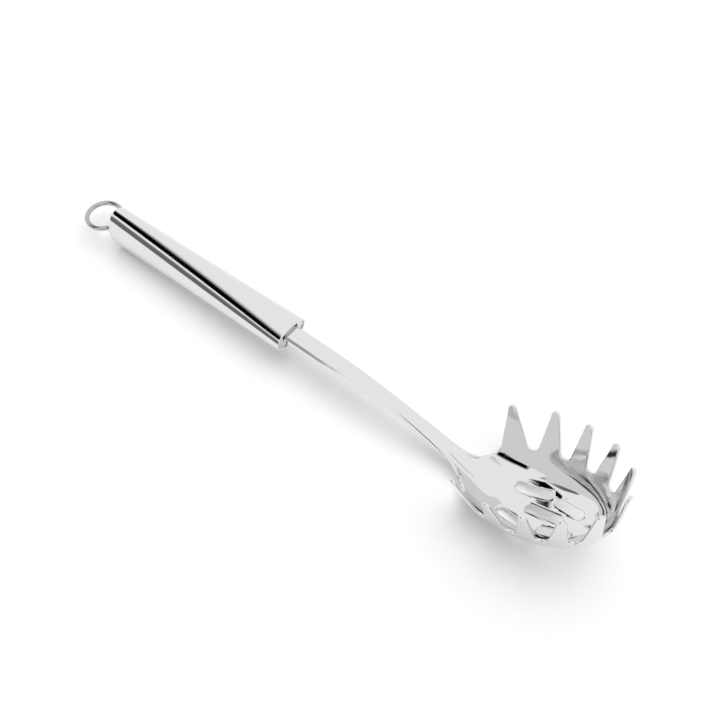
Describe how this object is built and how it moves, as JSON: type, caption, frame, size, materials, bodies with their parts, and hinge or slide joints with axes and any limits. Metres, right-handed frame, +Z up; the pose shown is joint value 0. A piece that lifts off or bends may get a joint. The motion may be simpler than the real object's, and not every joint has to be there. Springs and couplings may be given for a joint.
{
  "type": "pasta server",
  "caption": "Polished stainless-steel pasta server: pronged, slotted oval bowl on a channel neck, hollow oval tube handle and a wire hanging loop.",
  "frame": {"origin": "centre of the bounding box in plan, on the table that the server lies on", "axes": "+X from the hanging ring to the front prong, +Y across the bowl, +Z up from the table"},
  "size_m": [0.333, 0.0588, 0.0681],
  "materials": {
    "head_steel": "mirror polished, with fine wipe marks",
    "handle_steel": "mirror polished, faint lengthwise brushing",
    "plate_steel": "polished",
    "ring_steel": "polished drawn wire"
  },
  "bodies": {
    "root": {"head_blank": "head_steel", "handle_tube": "handle_steel", "front_plate": "plate_steel", "rear_plate": "plate_steel", "hanging_ring": "ring_steel"}
  },
  "joints": []
}
